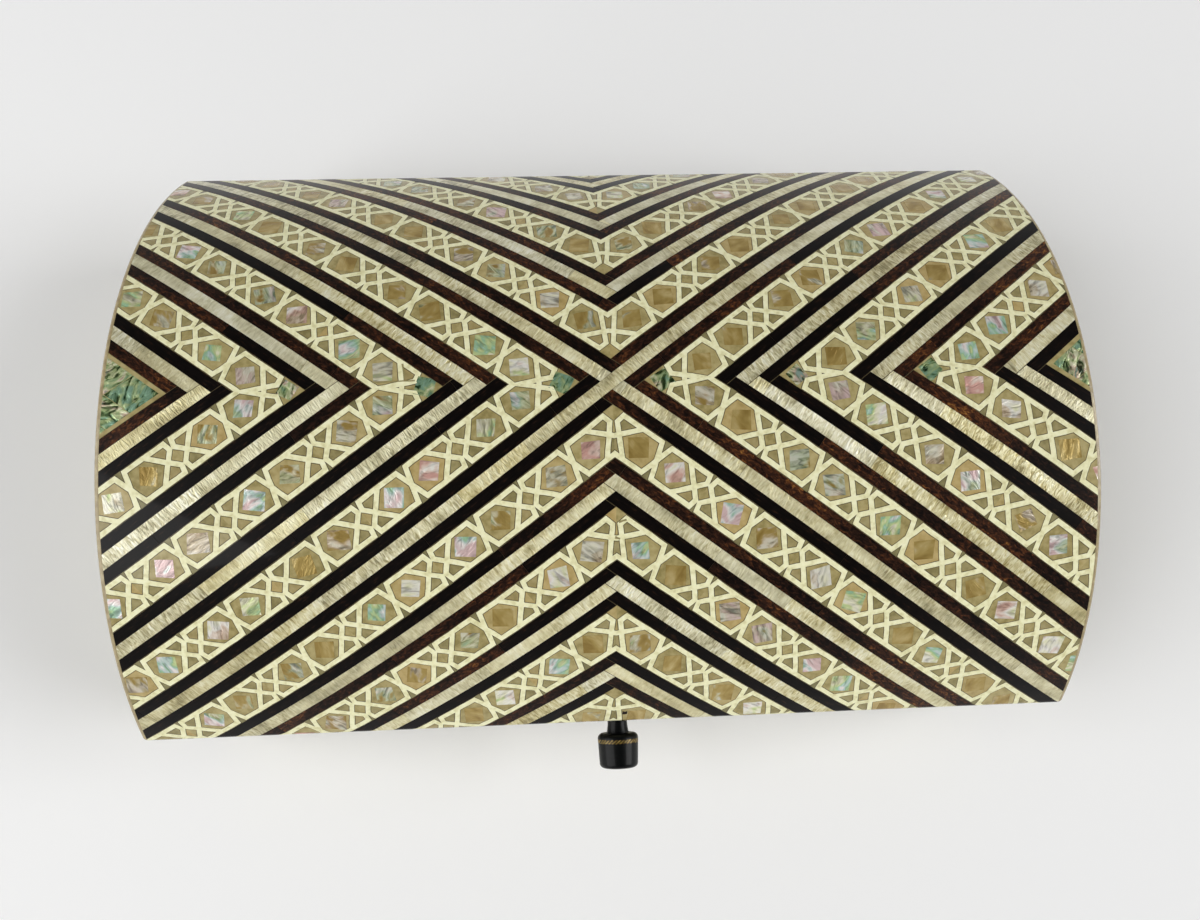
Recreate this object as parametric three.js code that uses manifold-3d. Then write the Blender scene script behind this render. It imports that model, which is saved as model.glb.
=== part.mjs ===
// Shell-inlaid box: an arched lid that lifts off a shallow base, with a turned knob at the front.
// Millimetres, +Z up, origin at the middle of the underside, front towards -Y.

import * as THREE from "three";
import { mergeVertices } from "three/addons/utils/BufferGeometryUtils.js";
import Module from "manifold-3d";

const wasm = await Module();
wasm.setup();

// Driving dimensions
const LENGTH = 200;
const DEPTH = 131;
const ARCH_RISE = 29;
const LID_BAND = 8;
const BASE_HEIGHT = 27;
const VENEER = 1.5;
const BOARD = 4.5;
const FLOOR = 4;
const GAP = 0.3;
const ARCH_SEGMENTS = 56;

// Liner inside the base, which stands up into the lid and locates it
const LINER = 2;
const LINER_LIP = 3;
const LIP_CLEARANCE = 0.4;

// Knob, measured outwards from the front face of the lid
const KNOB_X = 1;
const PEG_RADIUS = 1.5;
const PEG_LENGTH = 6;
const NECK_RADIUS = 2.15;
const NECK_FLARE = 0.3;
const NECK_LENGTH = 2.8;
const HEAD_RADIUS = 4.45;
const HEAD_LENGTH = 7.25;
const HEAD_TAPER = 0.25;
const SHOULDER_ROUND = 1.1;
const END_ROUND = 1;
const KNOB_SEGMENTS = 40;
const HOLE_SEGMENTS = 24;
const CORNER_SEGMENTS = 5;

// Sizes that follow
const HALF_LENGTH = LENGTH / 2;
const HALF_DEPTH = DEPTH / 2;
const SKIN = VENEER + GAP;
const WALL = SKIN + BOARD;
const LID_BOTTOM = BASE_HEIGHT + GAP;
const SPRING = LID_BOTTOM + LID_BAND;
const RIDGE = SPRING + ARCH_RISE;
const ARCH_RADIUS = (HALF_DEPTH ** 2 + ARCH_RISE ** 2) / (2 * ARCH_RISE);
const ARCH_CENTRE = RIDGE - ARCH_RADIUS;
const BELOW = 10;

// Materials
const material = (color, roughness, metalness = 0) =>
  new THREE.MeshStandardMaterial({ color, roughness, metalness });
const WOOD = material(0x4a2e1c, 0.5);
const SHELL = material(0xcfc8a2, 0.2);
const EBONY = material(0x0d0c0c, 0.25);

const box = new THREE.Group();

// Mesh helpers
function toSolid(geometry) {
  const bare = geometry.clone();
  bare.deleteAttribute("normal");
  bare.deleteAttribute("uv");
  const merged = mergeVertices(bare, 1e-4);
  return new wasm.Manifold(
    new wasm.Mesh({
      numProp: 3,
      vertProperties: new Float32Array(merged.attributes.position.array),
      triVerts: new Uint32Array(merged.index.array),
    }),
  );
}

function toGeometry(solid) {
  const mesh = solid.getMesh();
  const indexed = new THREE.BufferGeometry();
  indexed.setAttribute("position", new THREE.BufferAttribute(mesh.vertProperties, mesh.numProp));
  indexed.setIndex(new THREE.BufferAttribute(mesh.triVerts, 1));
  const geometry = indexed.toNonIndexed();
  geometry.computeVertexNormals();
  return geometry;
}

function add(name, geometry, look) {
  const mesh = new THREE.Mesh(geometry, look);
  mesh.name = name;
  box.add(mesh);
  return mesh;
}

// A block between two corners
function block(low, high) {
  const size = high.map((value, axis) => value - low[axis]);
  const geometry = new THREE.BoxGeometry(...size);
  return geometry.translate(...low.map((value, axis) => value + size[axis] / 2));
}

// A shape drawn in Y and Z, drawn out along X from one place to another
function prism(shape, from, to) {
  const geometry = new THREE.ExtrudeGeometry(shape, {
    depth: to - from,
    bevelEnabled: false,
    steps: 1,
    curveSegments: ARCH_SEGMENTS,
  });
  const turned = new THREE.Matrix4().makeBasis(
    new THREE.Vector3(0, 1, 0),
    new THREE.Vector3(0, 0, 1),
    new THREE.Vector3(1, 0, 0),
  );
  return geometry.applyMatrix4(turned).translate(from, 0, 0);
}

// Height of the arch, set in by an offset, over a place across the box
const archHeight = (offset, y) => ARCH_CENTRE + Math.sqrt((ARCH_RADIUS - offset) ** 2 - y ** 2);

// Angle of the arch's end, set in by an offset, seen from the arch's centre
const archEnd = (offset, z) => Math.asin((z - ARCH_CENTRE) / (ARCH_RADIUS - offset));

// The lid's outline set in by an offset: upright sides from a floor level, and the arch over them
function lidOutline(offset, bottom) {
  const half = HALF_DEPTH - offset;
  const start = archEnd(offset, archHeight(offset, half));
  const shape = new THREE.Shape();
  shape.moveTo(-half, bottom);
  shape.lineTo(half, bottom);
  shape.absarc(0, ARCH_CENTRE, ARCH_RADIUS - offset, start, Math.PI - start, false);
  shape.closePath();
  return shape;
}

// The strip between the arch and the same arch set in, cut level at the springing line
function archStrip(thickness) {
  const outer = archEnd(0, SPRING);
  const inner = archEnd(thickness, SPRING);
  const shape = new THREE.Shape();
  shape.absarc(0, ARCH_CENTRE, ARCH_RADIUS, outer, Math.PI - outer, false);
  shape.absarc(0, ARCH_CENTRE, ARCH_RADIUS - thickness, Math.PI - inner, inner, true);
  shape.closePath();
  return shape;
}

// A rod along Y through the place of the knob
function knobBore(radius, from, to) {
  const geometry = new THREE.CylinderGeometry(radius, radius, to - from, HOLE_SEGMENTS);
  return toSolid(geometry.translate(KNOB_X, (from + to) / 2, KNOB_Z));
}

const KNOB_Z = (LID_BOTTOM + SPRING) / 2;
const FRONT = -HALF_DEPTH;
const boreHole = knobBore(PEG_RADIUS + GAP, FRONT - BELOW, FRONT + WALL + BELOW);

// Lid: a hollow wooden shell with closed ends, open below
function addLidBody() {
  const outer = toSolid(prism(lidOutline(SKIN, LID_BOTTOM), SKIN - HALF_LENGTH, HALF_LENGTH - SKIN));
  const inner = toSolid(prism(lidOutline(WALL, LID_BOTTOM - BELOW), WALL - HALF_LENGTH, HALF_LENGTH - WALL));
  add("lid_body", toGeometry(outer.subtract(inner).subtract(boreHole)), WOOD);
}

// Lid inlay: one bent sheet over the arch, a band at the front and back, and a panel at each end
function addLidInlay() {
  add("lid_top_inlay", prism(archStrip(VENEER), -HALF_LENGTH, HALF_LENGTH), SHELL);
  const top = SPRING - GAP;
  const front = block([-HALF_LENGTH, FRONT, LID_BOTTOM], [HALF_LENGTH, FRONT + VENEER, top]);
  add("lid_front_inlay", toGeometry(toSolid(front).subtract(boreHole)), SHELL);
  const back = block([-HALF_LENGTH, HALF_DEPTH - VENEER, LID_BOTTOM], [HALF_LENGTH, HALF_DEPTH, top]);
  add("lid_back_inlay", back, SHELL);
  const panel = lidOutline(SKIN, LID_BOTTOM);
  add("lid_left_inlay", prism(panel, -HALF_LENGTH, VENEER - HALF_LENGTH), SHELL);
  add("lid_right_inlay", prism(panel, HALF_LENGTH - VENEER, HALF_LENGTH), SHELL);
}

// Base: a wooden tray with a floor, and a thin liner whose lip stands up inside the lid
function addBaseBody() {
  const inset = (offset, bottom, top) =>
    toSolid(
      block(
        [offset - HALF_LENGTH, offset - HALF_DEPTH, bottom],
        [HALF_LENGTH - offset, HALF_DEPTH - offset, top],
      ),
    );
  const lipTop = BASE_HEIGHT + LINER_LIP;
  const walls = inset(SKIN, 0, BASE_HEIGHT);
  const lip = inset(WALL + LIP_CLEARANCE, FLOOR, lipTop);
  const hollow = inset(WALL + LINER, FLOOR, lipTop + BELOW);
  add("base_body", toGeometry(walls.add(lip).subtract(hollow)), WOOD);
}

// Base inlay: a band on each of the four sides
function addBaseInlay() {
  const high = HALF_LENGTH - VENEER;
  const side = HALF_DEPTH - SKIN;
  add("base_front_inlay", block([-HALF_LENGTH, FRONT, 0], [HALF_LENGTH, FRONT + VENEER, BASE_HEIGHT]), SHELL);
  add(
    "base_back_inlay",
    block([-HALF_LENGTH, HALF_DEPTH - VENEER, 0], [HALF_LENGTH, HALF_DEPTH, BASE_HEIGHT]),
    SHELL,
  );
  add("base_left_inlay", block([-HALF_LENGTH, -side, 0], [-high, side, BASE_HEIGHT]), SHELL);
  add("base_right_inlay", block([high, -side, 0], [HALF_LENGTH, side, BASE_HEIGHT]), SHELL);
}

// Points of a quarter round in the knob's profile, from one angle to the next
function quarter(radiusAt, along, round, from, to) {
  return Array.from({ length: CORNER_SEGMENTS + 1 }, (_, step) => {
    const angle = from + ((to - from) * step) / CORNER_SEGMENTS;
    return new THREE.Vector2(radiusAt + round * Math.cos(angle), along + round * Math.sin(angle));
  });
}

// Knob: a peg in the lid's front, a short neck and a drum-shaped head, turned about one axis
function addKnob() {
  const headEnd = NECK_LENGTH + HEAD_LENGTH;
  const endRadius = HEAD_RADIUS - HEAD_TAPER;
  const profile = [
    new THREE.Vector2(0, -PEG_LENGTH),
    new THREE.Vector2(PEG_RADIUS, -PEG_LENGTH),
    new THREE.Vector2(PEG_RADIUS, GAP),
    new THREE.Vector2(NECK_RADIUS, GAP),
    new THREE.Vector2(NECK_RADIUS, NECK_LENGTH / 2),
    new THREE.Vector2(NECK_RADIUS + NECK_FLARE, NECK_LENGTH),
    ...quarter(HEAD_RADIUS - SHOULDER_ROUND, NECK_LENGTH + SHOULDER_ROUND, SHOULDER_ROUND, -Math.PI / 2, 0),
    ...quarter(endRadius - END_ROUND, headEnd - END_ROUND, END_ROUND, 0, Math.PI / 2),
    new THREE.Vector2(0, headEnd),
  ];
  const knob = add("knob", new THREE.LatheGeometry(profile, KNOB_SEGMENTS), EBONY);
  knob.rotation.x = Math.PI;
  knob.position.set(KNOB_X, FRONT, KNOB_Z);
}

addLidBody();
addLidInlay();
addBaseBody();
addBaseInlay();
addKnob();

export default box;
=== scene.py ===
import bisect
import math
import random

import bpy
import numpy as np
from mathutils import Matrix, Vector, noise
from mathutils.geometry import delaunay_2d_cdt


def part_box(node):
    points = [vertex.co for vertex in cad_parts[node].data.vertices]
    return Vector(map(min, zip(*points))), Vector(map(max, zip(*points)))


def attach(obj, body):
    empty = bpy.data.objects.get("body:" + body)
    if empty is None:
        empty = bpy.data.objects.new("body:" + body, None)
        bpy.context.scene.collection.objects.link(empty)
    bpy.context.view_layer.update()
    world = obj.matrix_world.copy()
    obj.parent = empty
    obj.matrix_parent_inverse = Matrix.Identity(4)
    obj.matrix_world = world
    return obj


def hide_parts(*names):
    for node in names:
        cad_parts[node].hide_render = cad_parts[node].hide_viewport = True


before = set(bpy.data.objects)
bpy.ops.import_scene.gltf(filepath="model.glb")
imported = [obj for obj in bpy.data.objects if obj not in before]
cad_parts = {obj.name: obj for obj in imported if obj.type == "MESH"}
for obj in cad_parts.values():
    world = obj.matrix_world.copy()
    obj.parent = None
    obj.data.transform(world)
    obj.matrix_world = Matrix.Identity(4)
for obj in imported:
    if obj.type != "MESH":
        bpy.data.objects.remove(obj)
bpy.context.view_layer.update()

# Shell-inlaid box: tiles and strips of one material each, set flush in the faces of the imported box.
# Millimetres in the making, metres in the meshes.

MM = 0.001
chance = random.Random(11)
noise.seed_set(11)


# Sizes from the frame
def node_box(name):
    return [np.array(corner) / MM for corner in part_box(name)]


top_low, top_high = node_box("lid_top_inlay")
band_low, band_high = node_box("lid_front_inlay")
HALF_LENGTH = top_high[0]
HALF_DEPTH = top_high[1]
ARCH_RISE = top_high[2] - top_low[2]
ARCH_RADIUS = (HALF_DEPTH**2 + ARCH_RISE**2) / (2 * ARCH_RISE)
ARCH_CENTRE = top_high[2] - ARCH_RADIUS
LID_BOTTOM = band_low[2]
BASE_TOP = node_box("base_front_inlay")[1][2]
VENEER = band_high[1] - band_low[1]

# The inlay's pattern: nested chevrons round one crossing, with a pitch along and one across the box,
# and the crossing's height on the ends of the lid
PITCH_X = 27.35
PITCH_Y = 20.45
PITCH = 1 / math.hypot(1 / PITCH_X, 1 / PITCH_Y)
PEARL_WIDTH = 2.76
DARK_WIDTH = 2.47
CROSSING = (0.89, 2.18)
END_CROSSING = 66.0
SEAM = 0.06
MITRE_SEAM = 0.16
CHEVRONS = 4

# The band tile: bone lines round two six-sided fields, and the first tile's place from the mitre
TILE_LENGTH = 22.7
FIRST_TILE = 10.32
BONE_WIDTH = 1.03
FIELD_SEAM = 0.16
BAND_HALF = (PITCH - PEARL_WIDTH) / 2 - DARK_WIDTH
CORNER_REACH = 17.5
CHIP_OFFSET = 4.34
CHIP_SIDE = 4.0
CORNER_CHIP_SIDE = 3.7
CORNER_CHIP_AT = 0.37
ABALONE_FROM = 3
MOSAIC_BORDER = 0.8
MOSAIC_CELL = 6.2
GROUND_REACH = 1.5

# Rolled edges and the depths under the lacquered face
SPRING_ROUND = 1.5
END_EDGE = 1.2
RIM = 0.9
PARTING_RIM = 0.5
FIELD_DEPTH = 0.03
BED_DEPTH = 0.06
TILE_DEPTH = 0.1
FACET = 3.0
BAND_BOTTOM = LID_BOTTOM + PARTING_RIM

# The least area of a tile's part
SPECK = 1e-4


# Plane points and polygons
def dot(a, b):
    return a[0] * b[0] + a[1] * b[1]


def negative(a):
    return (-a[0], -a[1])


def pairs(ring):
    return zip(ring, ring[1:] + ring[:1])


def clip(polygon, direction, limit):
    """The part of a convex polygon where its product with a direction is at most a limit."""
    depth = [dot(point, direction) - limit for point in polygon]
    if max(depth) <= 0:
        return polygon
    if min(depth) >= 0:
        return []
    kept = []
    for i, point in enumerate(polygon):
        j = (i + 1) % len(polygon)
        if depth[i] <= 0:
            kept.append(point)
        if depth[i] * depth[j] < 0:
            share = depth[i] / (depth[i] - depth[j])
            other = polygon[j]
            kept.append(
                (point[0] + share * (other[0] - point[0]), point[1] + share * (other[1] - point[1]))
            )
    return kept


def clip_all(polygon, planes):
    for direction, limit in planes:
        if not polygon:
            break
        polygon = clip(polygon, direction, limit)
    return polygon


def beyond(direction, limit):
    """The half-plane where the product with a direction is at least a limit."""
    return negative(direction), -limit


def between(direction, low, high):
    """The half-planes on the two sides of a stretch."""
    return [beyond(direction, low), (direction, high)]


def slices(polygon, levels):
    """A convex polygon cut at each level that crosses it."""
    heights = [point[1] for point in polygon]
    first = bisect.bisect_right(levels, min(heights) + 1e-6)
    last = bisect.bisect_left(levels, max(heights) - 1e-6)
    for level in levels[first:last]:
        yield clip(polygon, (0, 1), level)
        polygon = clip(polygon, (0, -1), -level)
    yield polygon


def area(polygon):
    return sum(a[0] * b[1] - b[0] * a[1] for a, b in pairs(polygon)) / 2


def anticlockwise(polygon):
    return polygon if area(polygon) > 0 else polygon[::-1]


def middle(polygons):
    points = [point for polygon in polygons for point in polygon]
    return tuple(sum(values) / len(points) for values in zip(*points))


def outline_planes(outline):
    """The half-planes that bound a convex outline drawn anticlockwise."""
    planes = []
    for a, b in pairs(outline):
        direction = (b[1] - a[1], a[0] - b[0])
        planes.append((direction, dot(direction, a)))
    return planes


# How far the hand-laid pattern drifts on the lid, in mm at 100 mm from its crossing: it leans and bows
# along the box; across it, the pattern slopes, stretches, bows and spreads towards the right
LEAN = -0.7
BOW_ALONG = (1.3, -2.6)
SLOPE = 0.95
STRETCH = 0.5
BOW_ACROSS = (0.7, 1.6)
SPREAD = 4.7
DRIFT_REACH = 100
DRIFT_STEP = 8


def drift(point):
    u, v = point[0] / DRIFT_REACH, point[1] / DRIFT_REACH
    along = LEAN * v + BOW_ALONG[0] * u * u + BOW_ALONG[1] * v * v
    across = SLOPE * u + STRETCH * v + BOW_ACROSS[0] * u * u + BOW_ACROSS[1] * v * v + SPREAD * u * v
    return (point[0] + along, point[1] + across)


def in_steps(polygon, along):
    """A long polygon cut across at even steps, so that it can follow the drift."""
    places = [dot(point, along) for point in polygon]
    first, last = math.floor(min(places) / DRIFT_STEP), math.ceil(max(places) / DRIFT_STEP)
    steps = [(i * DRIFT_STEP, (i + 1) * DRIFT_STEP) for i in range(first, last)]
    parts = [clip_all(polygon, between(along, low, high)) for low, high in steps]
    return [part for part in parts if part]


# Faces of the box
class Face:
    """One face: its outline in the plane of the pattern, the way from there to space, the levels that cut
    it along its curve, and where the pattern's crossing lies."""

    def __init__(self, outline, place, levels=(), crossing=(0, 0), drifts=False):
        self.outline, self.planes = outline, outline_planes(outline)
        self.place, self.levels = place, list(levels)
        self.crossing, self.drifts = crossing, drifts

    def at(self, point):
        """A place of the pattern, measured from its crossing, on the face."""
        moved = drift(point) if self.drifts else point
        return (self.crossing[0] + moved[0], self.crossing[1] + moved[1])

    def drawn(self, polygon):
        return anticlockwise([self.at(point) for point in polygon])

    def fit(self, polygons):
        """Polygons kept inside the outline and cut at the face's levels."""
        fitted = []
        for polygon in polygons:
            inside = clip_all(polygon, self.planes)
            if inside:
                fitted += [part for part in slices(inside, self.levels) if abs(area(part)) > SPECK]
        return fitted

    def cut(self, polygons):
        """Polygons of the pattern drawn on the face and fitted to it."""
        return self.fit([self.drawn(polygon) for polygon in polygons])

    def near(self, place, reach):
        """Whether a place is within reach of the outline's own box."""
        sides = zip(zip(*self.outline), place)
        return all(min(ends) - reach < value < max(ends) + reach for ends, value in sides)


def flat_place(origin, right):
    """Places on an upright face, seen from outside: right along it, and up."""
    right = np.array(right, float)
    normal = np.cross(right, (0, 0, 1))

    def place(points, depth):
        normals = np.repeat(normal[None], len(points), axis=0)
        spots = np.array(origin) + points[:, :1] * right + points[:, 1:] * np.array([0, 0, 1])
        return spots - depth * normals, normals

    return place


ROUND_START = math.asin((HALF_DEPTH - SPRING_ROUND) / (ARCH_RADIUS - SPRING_ROUND))
ARCH_REACH = ARCH_RADIUS * ROUND_START
ROUND_LENGTH = SPRING_ROUND * (math.pi / 2 - ROUND_START)
TOP_REACH = ARCH_REACH + ROUND_LENGTH
SPRING = ARCH_CENTRE + (ARCH_RADIUS - SPRING_ROUND) * math.cos(ROUND_START)


def arch_place(points, depth):
    """Places on the lid: over the arch, round its springing and down its upright sides."""
    along = np.abs(points[:, 1])
    side = np.where(points[:, 1] < 0, -1, 1)
    turn = np.clip((along - ARCH_REACH) / SPRING_ROUND, 0, math.pi / 2 - ROUND_START)
    angle = np.minimum(along, ARCH_REACH) / ARCH_RADIUS
    small = np.where(turn > 0, SPRING_ROUND, 0)
    large = ARCH_RADIUS - small
    down = np.maximum(along - TOP_REACH, 0)
    y = large * np.sin(angle) + small * np.sin(angle + turn)
    z = ARCH_CENTRE + large * np.cos(angle) + small * np.cos(angle + turn) - down
    normals = np.stack([0 * y, side * np.sin(angle + turn), np.cos(angle + turn)], axis=1)
    return np.stack([points[:, 0], side * y, z], axis=1) - depth * normals, normals


def rectangle(low, high):
    return [(low[0], low[1]), (high[0], low[1]), (high[0], high[1]), (low[0], high[1])]


def end_outline():
    """The lid's end: upright sides and the arch over them, set in by the thickness of the top sheet."""
    radius = ARCH_RADIUS - VENEER
    half = HALF_DEPTH - VENEER
    limit = math.asin(half / radius)
    steps = 48
    arc = [limit - 2 * limit * i / steps for i in range(steps + 1)]
    curve = [(radius * math.sin(a), ARCH_CENTRE + radius * math.cos(a)) for a in arc]
    return [(-half, BAND_BOTTOM), (half, BAND_BOTTOM)] + curve


def arch_levels():
    steps = math.ceil(ARCH_REACH / FACET)
    over = [ARCH_REACH * i / steps for i in range(steps + 1)]
    bend = [ARCH_REACH + ROUND_LENGTH * i / 3 for i in (1, 2)]
    return sorted({side * level for side in (-1, 1) for level in over + bend})


INNER_X = HALF_LENGTH - END_EDGE
INNER_Y = HALF_DEPTH - VENEER
TOP_OUTLINE = rectangle((-INNER_X, -TOP_REACH), (INNER_X, TOP_REACH))
top_face = Face(TOP_OUTLINE, arch_place, arch_levels(), CROSSING, drifts=True)

# For the four sides: where the face stands, which way is right on it, and how far it goes each way
SIDES = {
    "front": ((0, -HALF_DEPTH, 0), (1, 0, 0), INNER_X),
    "back": ((0, HALF_DEPTH, 0), (-1, 0, 0), INNER_X),
    "right": ((HALF_LENGTH, 0, 0), (0, 1, 0), INNER_Y),
    "left": ((-HALF_LENGTH, 0, 0), (0, -1, 0), INNER_Y),
}


def side_face(side, low, high):
    origin, right, reach = SIDES[side]
    return Face(rectangle((-reach, low), (reach, high)), flat_place(origin, right))


def end_face(side):
    origin, right, _ = SIDES[side]
    return Face(end_outline(), flat_place(origin, right), crossing=(0, END_CROSSING))


# Meshes
class Inlay:
    """Tiles of one material, each a shallow closed solid, gathered in one mesh."""

    def __init__(self):
        self.points, self.faces, self.normals = [], [], []
        self.grain, self.tint = [], []

    def add(self, face, polygons, grain, tint, top=0.0, bottom=TILE_DEPTH):
        """One tile: its top, its underside and a wall round its rim."""
        flat, rings = numbered(polygons)
        if not rings:
            return
        plane = np.array(flat)
        upper, normals = face.place(plane, top)
        lower, _ = face.place(plane, bottom)
        start, count = len(self.points), len(flat)
        self.points += [*upper, *lower]
        values = [grain(*point) for point in flat]
        self.grain += values * 2
        self.tint += [tint] * (2 * count)
        edges = {(a, b) for ring in rings for a, b in pairs(ring)}
        for ring in rings:
            self.face([start + i for i in ring], [normals[i] for i in ring])
            self.face([start + count + i for i in ring[::-1]], [-normals[i] for i in ring[::-1]])
        for a, b in edges:
            if (b, a) not in edges:
                outward = np.cross(upper[b] - upper[a], normals[a])
                outward /= np.linalg.norm(outward) or 1
                corners = (a, a + count, b + count, b)
                self.face([start + i for i in corners], [outward] * 4)

    def face(self, ring, normals):
        self.faces.append(ring)
        self.normals += normals

    def sweep(self, frames, section):
        """A closed bar: a section of (sideways, inwards) places drawn along frames of origin, sideways
        direction and outward normal."""
        step = frames[1][0] - frames[0][0]
        if np.dot(step, np.cross(frames[0][2], frames[0][1])) < 0:
            frames = frames[::-1]
        start, count, travelled = len(self.points), len(section), 0.0
        for k, (origin, sideways, normal) in enumerate(frames):
            travelled += np.linalg.norm(origin - frames[max(k - 1, 0)][0])
            self.points += [origin + a * sideways - d * normal for a, d in section]
            self.grain += [(travelled, a + d, 0) for a, d in section]
            self.tint += [(0, 0, 0)] * count
        for k in range(len(frames) - 1):
            a, b = start + k * count, start + (k + 1) * count
            for i in range(count):
                j = (i + 1) % count
                self.flat([a + i, a + j, b + j, b + i])
        self.flat([start + i for i in range(count)][::-1])
        self.flat([start + (len(frames) - 1) * count + i for i in range(count)])

    def flat(self, ring):
        a, b, c = (np.array(self.points[ring[i]]) for i in (0, 1, 2))
        normal = np.cross(b - a, c - b)
        normal /= np.linalg.norm(normal) or 1
        self.face(ring, [normal] * len(ring))

    def build(self, name, material, slot, nodes=()):
        mesh = bpy.data.meshes.new(name)
        points = np.array(self.points) * MM
        mesh.from_pydata(points.tolist(), [], self.faces, shade_flat=False)
        mesh.normals_split_custom_set(np.array(self.normals).tolist())
        for label, values in (("grain", self.grain), ("tint", self.tint)):
            layer = mesh.attributes.new(label, "FLOAT_VECTOR", "POINT")
            layer.data.foreach_set("vector", np.array(values, np.float32).ravel())
        mesh.materials.append(material)
        piece = placed(name, mesh)
        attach(piece, "root")
        if nodes:
            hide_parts(*nodes)


def placed(name, data, location=(0, 0, 0), rotation=(0, 0, 0)):
    """An object of the scene at a place."""
    made = bpy.data.objects.new(name, data)
    made.location, made.rotation_euler = location, rotation
    bpy.context.scene.collection.objects.link(made)
    return made


def numbered(polygons):
    """The distinct points of some polygons, and each polygon as places in that list."""
    places, points, rings = {}, [], []
    for polygon in polygons:
        ring = []
        for point in polygon:
            key = (round(point[0], 3), round(point[1], 3))
            if key not in places:
                places[key] = len(points)
                points.append(point)
            if places[key] not in ring:
                ring.append(places[key])
        if len(ring) > 2:
            rings.append(ring)
    return points, rings


# The band tile, drawn once: along the band, and across it
HALF_LINE = [(0, 0), (-1.15, 3.64), (-10.46, 3.64), (-10.86, 1.96), (-9.05, 0), (-5.92, -3.45)]
LINE_STEP = 1.7


def subdivided(line):
    points = [line[0]]
    for a, b in zip(line, line[1:]):
        steps = max(1, round(math.dist(a, b) / LINE_STEP))
        points += [
            (a[0] + (b[0] - a[0]) * i / steps, a[1] + (b[1] - a[1]) * i / steps)
            for i in range(1, steps + 1)
        ]
    return points


def widened(line, half):
    """The outline of a bent line with a width, mitred at its bends."""
    left, right = [], []
    for i, point in enumerate(line):
        before = line[max(i - 1, 0)]
        after = line[min(i + 1, len(line) - 1)]
        into = unit(point, before if i else after, -1 if i else 1)
        out = unit(point, after if i < len(line) - 1 else before, 1 if i < len(line) - 1 else -1)
        across = (-(into[1] + out[1]), into[0] + out[0])
        scale = half * 2 / (across[0] ** 2 + across[1] ** 2)
        left.append((point[0] + across[0] * scale, point[1] + across[1] * scale))
        right.append((point[0] - across[0] * scale, point[1] - across[1] * scale))
    return left + right[::-1]


def unit(a, b, sign=1):
    length = math.dist(a, b)
    return (sign * (b[0] - a[0]) / length, sign * (b[1] - a[1]) / length)


def mirrored(line):
    return [[(sx * x, sy * y) for x, y in line] for sx in (1, -1) for sy in (1, -1)]


def tile_parts(start):
    """Bone triangles and the separate fields of a tile whose ground begins at a place along the band."""
    lines = mirrored(subdivided(HALF_LINE))
    outlines = [widened(line, BONE_WIDTH / 2) for line in lines]
    outlines += [widened(line, BONE_WIDTH / 2 + FIELD_SEAM) for line in lines]
    edge = BAND_HALF - SEAM
    outlines.append(rectangle((start, -edge), (TILE_LENGTH / 2, edge)))
    points, faces = [], []
    for outline in outlines:
        faces.append(list(range(len(points), len(points) + len(outline))))
        points += [Vector(point) for point in anticlockwise(outline)]
    made, _, triangles, _, _, sources = delaunay_2d_cdt(points, [], faces, 1, 1e-5)
    spots = [tuple(point) for point in made]
    bones, ground = [], []
    for triangle, source in zip(triangles, sources):
        if min(source) < len(lines):
            bones.append([spots[i] for i in triangle])
        elif min(source) == len(outlines) - 1:
            ground.append(triangle)
    fields = [[[spots[i] for i in triangle] for triangle in group] for group in joined(ground)]
    return [anticlockwise(bone) for bone in bones], [[anticlockwise(p) for p in f] for f in fields]


def joined(triangles):
    """Triangles in groups that share an edge."""
    by_edge = {}
    for number, triangle in enumerate(triangles):
        for a, b in pairs(list(triangle)):
            by_edge.setdefault(frozenset((a, b)), []).append(number)
    left, groups = set(range(len(triangles))), []
    while left:
        reached, group = [left.pop()], []
        while reached:
            number = reached.pop()
            group.append(triangles[number])
            for a, b in pairs(list(triangles[number])):
                near = [n for n in by_edge[frozenset((a, b))] if n in left]
                left.difference_update(near)
                reached += near
        groups.append(group)
    return groups


INNER_TILE = tile_parts(-TILE_LENGTH / 2)
FIRST_PARTS = tile_parts(-CORNER_REACH)


# Directions along and across, and the grain that follows them
class Way:
    """Directions along and across a strip or a row of tiles, and the half-planes that end it."""

    def __init__(self, along, across, ends=(), chip_turn=0.0):
        self.along, self.across, self.ends, self.chip_turn = along, across, ends, chip_turn

    def spot(self, start, s, w):
        return (
            start[0] + self.along[0] * s + self.across[0] * w,
            start[1] + self.along[1] * s + self.across[1] * w,
        )

    def grain(self, phase, start=(0, 0)):
        """The values of the grain at a place: how far along, how far across, and a phase of its own."""

        def values(x, y):
            offset = (x - start[0], y - start[1])
            return (dot(offset, self.along), dot(offset, self.across), phase)

        return values


def turned_way(angle):
    c, s = math.cos(angle), math.sin(angle)
    return Way((c, s), (-s, c))


ROW = Way((1, 0), (0, 1), chip_turn=math.pi / 4)

# A square that holds the whole pattern
REACH = 160
WIDE = rectangle((-REACH, -REACH), (REACH, REACH))

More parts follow.
